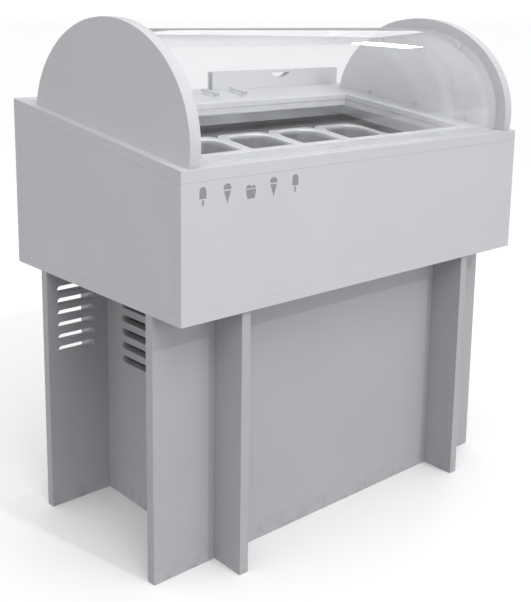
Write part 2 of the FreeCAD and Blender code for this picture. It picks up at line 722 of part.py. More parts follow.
# ---------------------------------------------------------------- well


DRAIN_PLACE = (-130.0, -115.0)


def well_ring(grow, rebate, height):
    """A ring round the well's mouth, from a rebate behind the mouth out to its growth."""
    return ring(well_block(grow, height), well_block(rebate, (height[0] - 1, height[1] + 1)))


def well_frame():
    """The white liner around the well's mouth, with a thin lip that lies on the worktop."""
    lip = well_ring(FRAME_THICK + LIP_REACH, 0, (0, LIP_THICK))
    upper = well_ring(FRAME_THICK, 0, (-FRAME_STEP, LIP_THICK))
    lower = well_ring(FRAME_THICK, FRAME_REBATE, (-FRAME_HEIGHT, -FRAME_STEP))
    return on_slope(joined([lip, upper, lower]))


def well_trim():
    """The steel band under the liner."""
    return on_slope(well_ring(TRIM_THICK, 0, (-TRIM_BOTTOM, -FRAME_HEIGHT)))


def tub_space(grow):
    """The tub's inside, grown sideways and downwards by a margin."""
    out = TUB_SETBACK + grow
    return rounded_plate((WELL_LEFT - out, WELL_RIGHT + out), (WELL_FRONT - out, WELL_REAR + out),
                         (-TUB_FLOOR - grow, -TRIM_BOTTOM), TUB_CORNER + grow)


def drain_bore(radius, top, bottom):
    """A round drain passage through the tub's floor, in world axes."""
    return rod(radius, DRAIN_PLACE + (bottom,), DRAIN_PLACE + (top,))


def well_tub():
    """The steel tub: an open box with a flange turned in under the trim."""
    walls = ring(tub_space(TUB_SHEET), tub_space(0))
    lid = tub_space(TUB_SHEET).common(block((-TALL, TALL), (-TALL, TALL), (-TRIM_BOTTOM - TUB_SHEET, 0)))
    tub = joined([walls, lid.cut(well_block(0, (-TALL, TALL)))])
    return on_slope(tub).cut(drain_bore(9, 800, 600))


def evaporator_coil():
    """Copper pipe wound around the tub's walls in four turns."""
    reach = TUB_SETBACK + TUB_SHEET + COIL_RADIUS + 0.4
    left, right = WELL_LEFT - reach, WELL_RIGHT + reach
    front = WELL_FRONT - reach
    rear = WELL_REAR + reach
    turns = []
    for index in range(4):
        height = -85.0 - index * 34.0
        route = [(0, front, height), (right, front, height), (right, rear, height),
                 (left, rear, height), (left, front, height), (-1, front, height)]
        turns.append(on_slope(bent_tube(route, COIL_RADIUS, TUB_CORNER + reach - TUB_SETBACK)))
    return Part.makeCompound(turns)


def tub_insulation():
    """The foam around the tub and its coil."""
    outer = tub_space(TUB_SHEET + COIL_GAP + FOAM_THICK)
    cavity = tub_space(TUB_SHEET + COIL_GAP)
    floor_pad = well_block(0, (-TUB_FLOOR - TUB_SHEET - COIL_GAP, -TUB_FLOOR - TUB_SHEET))
    foam = below_worktop(on_slope(joined([ring(outer, cavity), floor_pad])))
    half_x, half_y = HALF_WIDTH - BOARD, HALF_DEPTH - BOARD
    inside = block((-half_x, half_x), (-half_y, half_y), (BOX_FLOOR_TOP, TALL))
    return foam.common(inside).cut(drain_bore(12, 800, 580)).cut(box_corner_cleats())


def pan_rails():
    """Two steel angles, at the well's front and rear, that the pans' rims hang on."""
    top = -PAN_RIM_DEPTH - PAN_SHEET
    spare = TUB_SETBACK - TUB_CORNER
    across = (WELL_LEFT - spare, WELL_RIGHT + spare)
    front, rear = WELL_FRONT - TUB_SETBACK, WELL_REAR + TUB_SETBACK
    rails = []
    for reach, stem in (((front, PAN_FRONT + PAN_SEAT), (front, front + 2)),
                        ((PAN_FRONT + PAN_LENGTH - PAN_SEAT, rear), (rear - 2, rear))):
        shelf = block(across, reach, (top - 2, top))
        leg = block(across, stem, (top - 24, top))
        rails.append(on_slope(joined([shelf, leg])))
    return Part.makeCompound(rails)


def pan(index):
    """A steel ice cream pan with a broad flat rim and large corner radii."""
    middle = (WELL_LEFT + WELL_RIGHT) / 2 + (index - (PAN_COUNT - 1) / 2) * PAN_PITCH
    half = PAN_WIDTH / 2
    run = (PAN_FRONT, PAN_FRONT + PAN_LENGTH)
    top = -PAN_RIM_DEPTH
    rim = rounded_plate((middle - half, middle + half), run, (top - PAN_SHEET, top), PAN_RIM_CORNER)
    in_half = half - PAN_RIM
    in_run = (run[0] + PAN_RIM, run[1] - PAN_RIM)
    outer = rounded_plate((middle - in_half - PAN_SHEET, middle + in_half + PAN_SHEET),
                          (in_run[0] - PAN_SHEET, in_run[1] + PAN_SHEET), (top - PAN_DEPTH, top),
                          PAN_CORNER + PAN_SHEET)
    floor = top - PAN_DEPTH + PAN_SHEET
    inner = rounded_plate((middle - in_half, middle + in_half), in_run, (floor, top + 1), PAN_CORNER)
    return on_slope(joined([rim, outer]).cut(inner))


def drain_tube():
    """The tub's drain, down through the box's floor."""
    pipe = drain_bore(8.5, DRAIN_TOP, 315)
    return pipe.cut(drain_bore(6.5, DRAIN_TOP + 1, 314))


DRAIN_TOP = slope_z(DRAIN_PLACE[1]) - TUB_FLOOR / math.cos(math.radians(SLOPE)) + 1.0


def drain_bottle():
    """The bottle that catches the melt water, on the deck."""
    x, y = DRAIN_PLACE
    outer = rod(38, (x, y, UNIT_BASE_TOP), (x, y, 300))
    neck = rod(16, (x, y, 300), (x, y, 330))
    body = joined([outer, neck])
    hollow = joined([rod(36, (x, y, UNIT_BASE_TOP + 2), (x, y, 298)), rod(13, (x, y, 297), (x, y, 331))])
    return body.cut(hollow)


# ---------------------------------------------------------------- cheeks and canopy


def cheek_left():
    """A half-round end board that stands on the worktop."""
    disc = ellipse_profile(-HALF_WIDTH + CHEEK_INSET, CHEEK_REACH, CHEEK_RISE, CHEEK_THICK)
    below = on_slope(block((-TALL, TALL), (-TALL, TALL), (-TALL, 0)))
    return disc.cut(below)


def cheek_right():
    return mirrored(cheek_left())


def cheek_screws():
    """Screws with washers at the cheeks' feet, seen from inside."""
    face = HALF_WIDTH - CHEEK_INSET - CHEEK_THICK
    screws = []
    for side in (-1, 1):
        for s in (120.0, CURVE_CENTRE_S, 445.0):
            head = rod(4.5, (side * face, s, 9), (side * (face - 2), s, 9))
            screws.append(on_slope(head))
    return Part.makeCompound(screws)


def canopy():
    """The clear curved sheet between the cheeks, open to the operator."""
    half = HALF_WIDTH - CHEEK_INSET - CHEEK_THICK - 0.5
    reach, rise = CHEEK_REACH - CANOPY_INSET, CHEEK_RISE - CANOPY_INSET
    outer = ellipse_profile(-half, reach, rise, 2 * half)
    inner = ellipse_profile(-half - 1, reach - CANOPY_THICK, rise - CANOPY_THICK, 2 * half + 2)
    below = on_slope(block((-TALL, TALL), (-TALL, TALL), (-TALL, -GROOVE_DEPTH + 0.5)))
    sheet = outer.cut(inner).cut(below)
    end_y, end_z = curve_point(reach * 2, rise * 2, CANOPY_REAR_ANGLE)
    wedge = [
        Vector(-TALL, CURVE_Y, CURVE_Z),
        Vector(-TALL, end_y, end_z),
        Vector(-TALL, TALL, end_z),
        Vector(-TALL, TALL, -TALL),
        Vector(-TALL, CURVE_Y, -TALL),
    ]
    rear = Part.Face(Part.makePolygon(wedge + wedge[:1])).extrude(Vector(2 * TALL, 0, 0))
    return sheet.cut(rear)


def canopy_rest_pins():
    """Chromed pins in the cheeks that the canopy rests on."""
    face = HALF_WIDTH - CHEEK_INSET - CHEEK_THICK
    gap = CANOPY_INSET + CANOPY_THICK + 4.0 + TOUCH
    pins = []
    for degrees in (55.0, 90.0, 118.0):
        y, z = curve_point(CHEEK_REACH - gap, CHEEK_RISE - gap, degrees)
        for side in (-1, 1):
            pins.append(rod(4, (side * face, y, z), (side * (face - 14), y, z)))
    return Part.makeCompound(pins)


def utensil_rests():
    """Two chromed pegs that lie front to rear on the ledge behind the well."""
    pegs = []
    for x in (-16.0, 76.0):
        bar = rod(3.5, (x, 520, 9), (x, 580, 9))
        feet = [rod(2.5, (x, s, 0), (x, s, 9)) for s in (530, 570)]
        knob = rod(5.0, (x, 515, 9), (x, 521, 9))
        pegs.append(on_slope(joined([bar, knob] + feet)))
    return Part.makeCompound(pegs)


NODES = {
    function.__name__: function
    for function in (
        stand_front_board, stand_rear_board, stand_side_board_left, stand_side_board_right, stand_brackets,
        bracket_screws, machine_deck, deck_cleats, service_cover, service_cover_screws, unit_base,
        condenser_coil, fan_shroud, condenser_fan, fan_motor, compressor_shell, compressor_motor,
        compressor_mounts, filter_drier, discharge_line, suction_line, liquid_line, electrical_box,
        supply_cable,
        control_plate, control_plate_screws, thermostat_body, thermostat_knob, switch_housing,
        power_switch, temperature_display, power_inlet, box_bottom_panel, box_front_panel,
        box_rear_panel, box_side_panel_left, box_side_panel_right, box_corner_cleats, worktop,
        rear_access_panel, access_panel_guides, well_frame, well_trim, well_tub, evaporator_coil,
        tub_insulation, pan_rails, drain_tube, drain_bottle, cheek_left, cheek_right, cheek_screws,
        canopy, canopy_rest_pins, utensil_rests,
    )
}


def main():
    """Builds every node and writes each one to its own STEP file."""
    os.makedirs("parts", exist_ok=True)
    shapes = {name: make() for name, make in NODES.items()}
    for index in range(PAN_COUNT):
        shapes[f"pan_{index + 1}"] = pan(index)
    for name, shape in shapes.items():
        if not shape.isValid():
            print("not valid:", name)
        shape.exportStep(os.path.join("parts", name + ".step"))
    print(len(shapes), "nodes written")


main()
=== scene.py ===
"""Looks for the ice cream dipping cabinet: materials, finer pieces, light and camera.

Everything is in metres, in the part's own frame: the customer stands at -Y, +Z is up.
"""
import bmesh
import bpy
import json
import math
from mathutils import Matrix, Vector


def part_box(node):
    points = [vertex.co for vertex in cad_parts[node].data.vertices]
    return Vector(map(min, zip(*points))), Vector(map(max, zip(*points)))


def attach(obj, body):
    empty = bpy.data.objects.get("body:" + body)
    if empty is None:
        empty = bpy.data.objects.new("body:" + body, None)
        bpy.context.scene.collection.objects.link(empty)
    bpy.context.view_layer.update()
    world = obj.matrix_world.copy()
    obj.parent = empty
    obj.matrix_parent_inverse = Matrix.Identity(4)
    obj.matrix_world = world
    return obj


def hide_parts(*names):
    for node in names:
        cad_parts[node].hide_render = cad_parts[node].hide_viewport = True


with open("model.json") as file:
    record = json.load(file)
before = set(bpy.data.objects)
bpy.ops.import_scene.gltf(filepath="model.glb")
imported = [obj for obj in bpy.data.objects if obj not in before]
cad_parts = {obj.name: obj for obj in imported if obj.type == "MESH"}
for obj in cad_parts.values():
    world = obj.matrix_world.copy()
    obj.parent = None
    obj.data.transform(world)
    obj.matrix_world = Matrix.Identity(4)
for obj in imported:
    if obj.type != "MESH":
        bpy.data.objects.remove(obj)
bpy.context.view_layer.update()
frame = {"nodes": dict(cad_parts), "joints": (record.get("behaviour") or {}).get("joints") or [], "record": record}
nodes = frame["nodes"]
MM = 0.001


# ---------------------------------------------------------------- places taken from the frame


def slope_frame():
    """The frame (x, s, h) of the sloping worktop: s up the slope, h square to it."""
    lift = next(joint for joint in frame["joints"] if joint["name"] == "pan_1_lift")
    angle = math.atan2(-lift["axis"][1], lift["axis"][2])
    low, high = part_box("worktop")
    front_top = high[2] - (high[1] - low[1]) * math.tan(angle)
    return Matrix.Translation((0, low[1], front_top)) @ Matrix.Rotation(angle, 4, "X")


SLOPE = slope_frame()

# The pans' places and sizes along and below the sloping worktop.
PAN_RIM_DEPTH = 69.0 * MM
PAN_FRONT = 91.0 * MM
PAN_LENGTH = 330.0 * MM
PAN_DEPTH = 118.0 * MM
PAN_RIM = 16.0 * MM
PAN_CORNER = 44.5 * MM
PAN_RIM_CORNER = 28.0 * MM
PAN_FLOOR_RADIUS = 16.0 * MM
PAN_TAPER = 3.0 * MM


# ---------------------------------------------------------------- shader helpers


def new_material(name):
    """A material with one Principled shader; returns it with its tree and shader."""
    material = bpy.data.materials.new(name)
    material.use_nodes = True
    tree = material.node_tree
    return material, tree, tree.nodes["Principled BSDF"]


def coordinates(tree, scale=(1, 1, 1)):
    """Object coordinates, stretched by a scale."""
    source = tree.nodes.new("ShaderNodeTexCoord")
    mapping = tree.nodes.new("ShaderNodeMapping")
    mapping.inputs["Scale"].default_value = scale
    tree.links.new(source.outputs["Object"], mapping.inputs["Vector"])
    return mapping.outputs["Vector"]


def position_part(tree, axis):
    """One coordinate, X, Y or Z, of the point being shaded, in metres."""
    source = tree.nodes.new("ShaderNodeTexCoord")
    split = tree.nodes.new("ShaderNodeSeparateXYZ")
    tree.links.new(source.outputs["Object"], split.inputs["Vector"])
    return split.outputs[axis]


def noise(tree, vector, scale, detail=3.0, roughness=0.5):
    """A noise value from 0 to 1."""
    texture = tree.nodes.new("ShaderNodeTexNoise")
    texture.inputs["Scale"].default_value = scale
    texture.inputs["Detail"].default_value = detail
    texture.inputs["Roughness"].default_value = roughness
    tree.links.new(vector, texture.inputs["Vector"])
    return texture.outputs["Fac"]


def spread(tree, value, low, high, start=0.3, end=0.7):
    """Maps a value between start and end onto low to high."""
    node = tree.nodes.new("ShaderNodeMapRange")
    for key, number in (("From Min", start), ("From Max", end), ("To Min", low), ("To Max", high)):
        node.inputs[key].default_value = number
    tree.links.new(value, node.inputs["Value"])
    return node.outputs["Result"]


def calculated(tree, operation, first, second, constant=0.0):
    """The result of a sum on two values and, where the operation has a third, a constant."""
    node = tree.nodes.new("ShaderNodeMath")
    node.operation = operation
    tree.links.new(first, node.inputs[0])
    tree.links.new(second, node.inputs[1])
    node.inputs[2].default_value = constant
    return node.outputs["Value"]


def blended(tree, factor, first, second):
    """A colour between two colours, or between a colour socket and a colour."""
    node = tree.nodes.new("ShaderNodeMix")
    node.data_type = "RGBA"
    tree.links.new(factor, node.inputs["Factor"])
    for key, colour in ((6, first), (7, second)):
        if isinstance(colour, bpy.types.NodeSocket):
            tree.links.new(colour, node.inputs[key])
        else:
            node.inputs[key].default_value = (*colour, 1.0)
    return node.outputs[2]


def darker(colour, share):
    """A colour dimmed to a share of its brightness."""
    return tuple(part * share for part in colour)


def add_bump(tree, shader, height, strength, distance):
    """Feeds a height into the shader's normal."""
    node = tree.nodes.new("ShaderNodeBump")
    node.inputs["Strength"].default_value = strength
    node.inputs["Distance"].default_value = distance
    tree.links.new(height, node.inputs["Height"])
    tree.links.new(node.outputs["Normal"], shader.inputs["Normal"])


# ---------------------------------------------------------------- materials


SCUFF_HEIGHT = 0.05
SCUFF_STRENGTH = 0.5
SCUFF_SHADE = 0.62


def make_laminate(name, light, dark):
    """Melamine laminate: a pearl texture, faint mottling and scuffs near the floor."""
    material, tree, shader = new_material(name)
    even = coordinates(tree)
    mottled = blended(tree, spread(tree, noise(tree, even, 5.0, 4.0), 0, 1), light, dark)
    speckle = spread(tree, noise(tree, even, 900.0, 2.0), 0, 0.35)
    speckled = blended(tree, speckle, mottled, darker(dark, 0.93))
    near_floor = spread(tree, position_part(tree, "Z"), SCUFF_STRENGTH, 0.0, 0.0, SCUFF_HEIGHT)
    patches = spread(tree, noise(tree, even, 40.0, 5.0), 0, 1, 0.45, 0.7)
    scuffs = calculated(tree, "MULTIPLY", near_floor, patches)
    scuffed = blended(tree, scuffs, speckled, darker(dark, SCUFF_SHADE))
    tree.links.new(scuffed, shader.inputs["Base Color"])
    tree.links.new(spread(tree, noise(tree, even, 60.0, 3.0), 0.46, 0.58), shader.inputs["Roughness"])
    shader.inputs["Specular IOR Level"].default_value = 0.3
    add_bump(tree, shader, noise(tree, even, 1100.0, 2.0), 0.10, 0.3 * MM)
    return material


def make_metal(name, colour, rough, grain=(6.0, 260.0, 260.0), bump=0.05):
    """Satin metal with fine scratches drawn out along one axis."""
    material, tree, shader = new_material(name)
    brushed = noise(tree, coordinates(tree, grain), 6.0, 5.0, 0.6)
    cloudy = noise(tree, coordinates(tree), 9.0, 4.0)
    scratched = blended(tree, spread(tree, brushed, 0, 1), colour, darker(colour, 0.86))
    clouded = blended(tree, spread(tree, cloudy, 0, 0.35), scratched, darker(colour, 0.8))
    tree.links.new(clouded, shader.inputs["Base Color"])
    tree.links.new(spread(tree, brushed, rough * 0.82, rough * 1.18), shader.inputs["Roughness"])
    shader.inputs["Metallic"].default_value = 1.0
    add_bump(tree, shader, brushed, bump, 0.2 * MM)
    return material


def make_plastic(name, colour, rough, grain=700.0, bump=0.06, coat=0.0, gloss=0.5):
    """Moulded plastic or enamel with a fine grain."""
    material, tree, shader = new_material(name)
    even = coordinates(tree)
    mottled = spread(tree, noise(tree, even, 14.0, 3.0), 0, 1)
    tree.links.new(blended(tree, mottled, colour, darker(colour, 0.9)), shader.inputs["Base Color"])
    worn = spread(tree, noise(tree, even, 35.0, 3.0), rough * 0.88, rough * 1.12)
    tree.links.new(worn, shader.inputs["Roughness"])
    shader.inputs["Coat Weight"].default_value = coat
    shader.inputs["Specular IOR Level"].default_value = gloss
    add_bump(tree, shader, noise(tree, even, grain, 2.0), bump, 0.2 * MM)
    return material


# Depths below the rim over which the pans turn duller in finish and take on painted shade.
PAN_DULL_SHADE_FROM = 4 * MM
PAN_DULL_SHADE_TO = 14 * MM


def make_pan_steel():
    """Pressed steel for the pans: bright on the rim; from just below it duller in finish and darker by painted
    shade.
    """
    material = make_metal("pan_steel", (0.80, 0.81, 0.83), 0.36)
    tree = material.node_tree
    shader = tree.nodes["Principled BSDF"]
    up = SLOPE.to_3x3() @ Vector((0, 0, 1))
    rim = up.dot(SLOPE.translation) - PAN_RIM_DEPTH
    source = tree.nodes.new("ShaderNodeTexCoord")
    height = tree.nodes.new("ShaderNodeVectorMath")
    height.operation = "DOT_PRODUCT"
    height.inputs[1].default_value = up
    tree.links.new(source.outputs["Object"], height.inputs[0])
    dull_and_shaded = spread(tree, height.outputs["Value"], 1, 0, rim - PAN_DULL_SHADE_TO, rim - PAN_DULL_SHADE_FROM)
    tree.links.new(spread(tree, dull_and_shaded, 0.55, 1.0, 0.0, 1.0), shader.inputs["Metallic"])
    bright = shader.inputs["Base Color"].links[0].from_socket
    # Painted shade: below the rim the pan's colour is blended to a dark grey, for the shaded inside of the pan.
    tree.links.new(blended(tree, dull_and_shaded, bright, (0.43, 0.435, 0.45)), shader.inputs["Base Color"])
    return material


def make_foam():
    """Rigid insulating foam with open cells at its skin."""
    material, tree, shader = new_material("insulating_foam")
    cells = tree.nodes.new("ShaderNodeTexVoronoi")
    cells.inputs["Scale"].default_value = 320.0
    tree.links.new(coordinates(tree), cells.inputs["Vector"])
    distance = cells.outputs["Distance"]
    tint = blended(tree, distance, (0.80, 0.70, 0.45), (0.90, 0.84, 0.62))
    tree.links.new(tint, shader.inputs["Base Color"])
    shader.inputs["Roughness"].default_value = 0.9
    add_bump(tree, shader, distance, 0.4, 1 * MM)
    return material


def make_board():
    """Bare particle board for the deck and the battens."""
    material, tree, shader = new_material("bare_board")
    flakes = noise(tree, coordinates(tree, (1, 3, 3)), 120.0, 4.0)
    tint = blended(tree, spread(tree, flakes, 0, 1), (0.55, 0.43, 0.29), (0.40, 0.30, 0.19))
    tree.links.new(tint, shader.inputs["Base Color"])
    shader.inputs["Roughness"].default_value = 0.85
    add_bump(tree, shader, flakes, 0.25, 0.6 * MM)
    return material


HAZE_FROM_X = 0.05
HAZE_TO_X = 0.45


def make_acrylic():
    """Clear acrylic sheet: a wiped haze, mostly at the right end, and faint ripples from its bending."""
    material, tree, shader = new_material("clear_acrylic_sheet")
    shader.inputs["Base Color"].default_value = (0.86, 0.865, 0.875, 1.0)
    shader.inputs["IOR"].default_value = 1.49
    wiped = spread(tree, noise(tree, coordinates(tree, (3.0, 1.0, 1.0)), 4.0, 5.0, 0.6), 0.04, 0.24)
    loss = spread(tree, position_part(tree, "X"), -0.06, -1.0, HAZE_FROM_X, HAZE_TO_X)
    clearness = calculated(tree, "MULTIPLY_ADD", wiped, loss, 1.0)
    tree.links.new(clearness, shader.inputs["Transmission Weight"])
    smears = noise(tree, coordinates(tree), 20.0, 3.0)
    tree.links.new(spread(tree, smears, 0.0, 0.03), shader.inputs["Roughness"])
    ripples = noise(tree, coordinates(tree, (0.6, 2.5, 2.5)), 3.0, 1.0)
    add_bump(tree, shader, ripples, 0.04, 4 * MM)
    return material


MATERIALS = {
    "white_laminate": make_laminate("white_laminate_pearl", (0.60, 0.605, 0.625), (0.575, 0.58, 0.60)),
    # Painted shade: the stand's laminate is the white laminate made darker, for the dimmer light lower down.
    "grey_laminate": make_laminate("stand_laminate_painted_shade", (0.46, 0.465, 0.48), (0.44, 0.445, 0.46)),
    "raw_board": make_board(),
    "zinc_steel": make_metal("zinc_plated_steel", (0.62, 0.63, 0.65), 0.34),
    "white_steel": make_plastic("white_powder_coat", (0.62, 0.625, 0.64), 0.42, 420.0, 0.12),
    "stainless": make_metal("satin_stainless", (0.74, 0.75, 0.77), 0.38),
    # Painted shade: a near-black steel for the pan rails, standing for the shaded gap behind the pans.
    "dull_steel": make_metal("tub_steel_painted_shade", (0.17, 0.172, 0.18), 0.5),
    "white_plastic": make_plastic("white_liner_plastic", (0.665, 0.67, 0.685), 0.5, gloss=0.25),
    "foam": make_foam(),
    "copper": make_metal("copper_pipe", (0.72, 0.38, 0.24), 0.30, (30.0, 30.0, 30.0)),
    "fin_aluminium": make_metal("fin_aluminium", (0.62, 0.63, 0.64), 0.38, (200.0, 4.0, 200.0)),
    "guide_aluminium": make_metal("anodised_aluminium", (0.68, 0.69, 0.70), 0.33, (200.0, 200.0, 5.0)),
    "black_plastic": make_plastic("black_moulding", (0.025, 0.025, 0.028), 0.45),
    "switch_green": make_plastic("green_rocker", (0.03, 0.28, 0.09), 0.25, 900.0, 0.02, 0.3),
    "black_rubber": make_plastic("black_rubber_mount", (0.02, 0.02, 0.02), 0.75, 300.0, 0.2),
    "black_steel": make_plastic("black_enamel", (0.018, 0.018, 0.02), 0.28, 60.0, 0.05, 0.4),
    "motor_steel": make_plastic("grey_enamel", (0.24, 0.25, 0.26), 0.38, 200.0, 0.08, 0.2),
    "clear_acrylic": make_acrylic(),
    "chrome": make_metal("polished_chrome", (0.82, 0.83, 0.84), 0.08, (40.0, 40.0, 40.0), 0.01),
}
PAN_STEEL = make_pan_steel()
GREY_INK = make_plastic("grey_ink", (0.27, 0.27, 0.28), 0.5, 800.0, 0.05)
WHITE_INK = make_plastic("white_ink", (0.78, 0.78, 0.78), 0.5, 800.0, 0.05)
RED_GLOW = make_plastic("red_segments", (0.75, 0.03, 0.02), 0.3, 800.0, 0.02)


# ---------------------------------------------------------------- mesh helpers


CORNER_STEPS = 8
BEVEL_SEGMENTS = 2
SHARP_ANGLE = 32.0


def piece_from(mesh_builder, name, body, slot, smooth=True, material=None):
    """Turns a finished bmesh into a piece that rides on a body."""
    mesh = bpy.data.meshes.new(name)
    bmesh.ops.recalc_face_normals(mesh_builder, faces=mesh_builder.faces)
    mesh_builder.to_mesh(mesh)
    mesh_builder.free()
    mesh.materials.append(material or MATERIALS[slot])
    if smooth:
        mesh.shade_smooth()
    piece = bpy.data.objects.new(name, mesh)
    bpy.context.scene.collection.objects.link(piece)
    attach(piece, body)
    return piece


def soften(obj, width, whole_faces=False):
    """Rounds an object's sharp edges by a small width, if wanted after joining its flat triangles."""
    weld = obj.modifiers.new("weld", "WELD")
    weld.merge_threshold = 0.02 * MM
    if whole_faces:
        merge = obj.modifiers.new("whole_faces", "DECIMATE")
        merge.decimate_type = "DISSOLVE"
        merge.angle_limit = math.radians(0.5)
    bevel = obj.modifiers.new("rounded_edges", "BEVEL")
    bevel.width = width
    bevel.segments = BEVEL_SEGMENTS
    bevel.limit_method = "ANGLE"
    bevel.angle_limit = math.radians(SHARP_ANGLE)
    bevel.harden_normals = True


def thicken(piece, thickness, offset=-1.0):
    """Gives a sheet its thickness."""
    sheet = piece.modifiers.new("sheet", "SOLIDIFY")
    sheet.thickness = thickness
    sheet.offset = offset


def split_edges(piece, angle):
    """Keeps edges sharper than an angle crisp on a smooth piece."""
    split = piece.modifiers.new("crisp_edges", "EDGE_SPLIT")
    split.split_angle = math.radians(angle)


def rounded_loop(half_x, half_y, radius):
    """Points of a rectangle with round corners, anticlockwise from its right side."""
    points = []
    for corner, (side_x, side_y) in enumerate(((1, 1), (-1, 1), (-1, -1), (1, -1))):
        for step in range(CORNER_STEPS + 1):
            turn = math.radians(90 * (corner + step / CORNER_STEPS))
            points.append((side_x * (half_x - radius) + radius * math.cos(turn),
                           side_y * (half_y - radius) + radius * math.sin(turn)))
    return points


def circle(radius, count):
    """Evenly spaced points on a circle."""
    turns = [2 * math.pi * index / count for index in range(count)]
    return [(radius * math.cos(turn), radius * math.sin(turn)) for turn in turns]


def join_rings(builder, lower, upper):
    """Quads between two closed rings of equally many vertices."""
    for index in range(len(lower)):
        after = (index + 1) % len(lower)
        builder.faces.new((lower[index], lower[after], upper[after], upper[index]))


def join_grid(builder, rows):
    """Quads between the open rows of a grid of vertices."""
    for lower, upper in zip(rows, rows[1:]):
        for index in range(len(lower) - 1):
            builder.faces.new((lower[index], lower[index + 1], upper[index + 1], upper[index]))


def skin(builder, loops, close_last=True):
    """Joins loops of equally many points with quads."""
    rings = [[builder.verts.new(point) for point in loop] for loop in loops]
    for lower, upper in zip(rings, rings[1:]):
        join_rings(builder, lower, upper)
    if close_last:
        builder.faces.new(rings[-1])


def box_centre(node):
    """The middle of a CAD node's box."""
    low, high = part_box(node)
    return (Vector(low) + Vector(high)) / 2


# ---------------------------------------------------------------- pans


PAN_COUNT = 5
PAN_SHEET = 0.9 * MM
PAN_LIP_DROP = 7 * MM
PAN_LIP_RADIUS = 1.6 * MM
PAN_MOUTH_RADIUS = 4 * MM
PAN_MOUTH_STEPS = 4
PAN_FLOOR_STEPS = 6
PAN_LEAST_CORNER = 4 * MM


def pan_loops(half_x, half_y):
    """A pan's section from the turned-down lip, over the rim, down the wall and into the floor."""
    lip = PAN_LIP_RADIUS
    loops = [(half_x, half_y, PAN_RIM_CORNER, -PAN_LIP_DROP), (half_x, half_y, PAN_RIM_CORNER, -lip),
             (half_x - 0.5 * lip, half_y - 0.5 * lip, PAN_RIM_CORNER, -0.3 * lip),
             (half_x - 1.3 * lip, half_y - 1.3 * lip, PAN_RIM_CORNER, 0.0)]
    mouth_x, mouth_y = half_x - PAN_RIM, half_y - PAN_RIM
    for step in range(PAN_MOUTH_STEPS + 1):
        turn = math.radians(90 * step / PAN_MOUTH_STEPS)
        out = PAN_MOUTH_RADIUS * (1 - math.sin(turn))
        drop = PAN_MOUTH_RADIUS * (1 - math.cos(turn))
        loops.append((mouth_x + out, mouth_y + out, PAN_CORNER + out, -drop))
    wall_x, wall_y = mouth_x - PAN_TAPER, mouth_y - PAN_TAPER
    bottom = -PAN_DEPTH + PAN_FLOOR_RADIUS
    for step in range(PAN_FLOOR_STEPS + 1):
        turn = math.radians(90 * step / PAN_FLOOR_STEPS)
        inward = PAN_FLOOR_RADIUS * (1 - math.cos(turn))
        corner = max(PAN_CORNER - PAN_TAPER - inward, PAN_LEAST_CORNER)
        height = bottom - PAN_FLOOR_RADIUS * math.sin(turn)
        loops.append((wall_x - inward, wall_y - inward, corner, height))
    return loops


def make_pan(index):
    """A pressed steel pan in place of the plain CAD pan."""
    node = f"pan_{index}"
    low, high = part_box(node)
    middle_x = (low[0] + high[0]) / 2
    half_x, half_y = (high[0] - low[0]) / 2, PAN_LENGTH / 2
    loops = []
    for half_width, half_length, corner, height in pan_loops(half_x, half_y):
        outline = rounded_loop(half_width, half_length, corner)
        loops.append([SLOPE @ Vector((middle_x + x, PAN_FRONT + half_y + y, height - PAN_RIM_DEPTH))
                      for x, y in outline])
    builder = bmesh.new()
    skin(builder, loops)
    pan = piece_from(builder, f"ice_cream_pan_{index}", node, "stainless", material=PAN_STEEL)
    thicken(pan, PAN_SHEET)
    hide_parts(node)


# ---------------------------------------------------------------- canopy


CANOPY_GAP = 23.5 * MM
CANOPY_THICK = 5.0 * MM
CANOPY_EASE = 0.8 * MM
CANOPY_REAR_ANGLE = 124.6
CANOPY_STEPS = 96


def canopy_outline(x, shy, centre, reach, rise, foot):
    """The sheet's closed outline at one station: along its outer face and back along its inner face."""
    end = math.radians(CANOPY_REAR_ANGLE)
    outer = [step / CANOPY_STEPS for step in range(CANOPY_STEPS + 1)]
    inner = [1 - share for share in outer]
    outline = []
    for shares, inset in ((outer, shy), (inner, CANOPY_THICK - shy)):
        for share in shares:
            turn = foot + (end - foot) * share
            outline.append(Vector((x, centre[0] - (reach - inset) * math.cos(turn),
                                   centre[1] + (rise - inset) * math.sin(turn))))
    return outline


def make_canopy():
    """The clear curved sheet, bent in fine steps, with eased and polished edges."""
    low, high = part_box("canopy")
    cheek_low, cheek_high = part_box("cheek_left")
    reach = (cheek_high[1] - cheek_low[1]) / 2 - CANOPY_GAP
    centre_y = (cheek_low[1] + cheek_high[1]) / 2
    up_the_slope = (centre_y - SLOPE.translation.y) / SLOPE[1][1]
    rise = high[2] - (SLOPE @ Vector((0, up_the_slope, 0))).z
    centre = (centre_y, high[2] - rise)
    foot = math.asin((low[2] - centre[1]) / rise)
    stations = ((low[0], CANOPY_EASE), (low[0] + CANOPY_EASE, 0),
                (high[0] - CANOPY_EASE, 0), (high[0], CANOPY_EASE))
    builder = bmesh.new()
    skin(builder, [canopy_outline(x, shy, centre, reach, rise, foot) for x, shy in stations])
    builder.faces.new(list(builder.verts)[:2 * (CANOPY_STEPS + 1)])
    canopy = piece_from(builder, "canopy_sheet", "canopy", "clear_acrylic")
    canopy.visible_shadow = False
    split_edges(canopy, 40)
    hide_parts("canopy")


# ---------------------------------------------------------------- screws


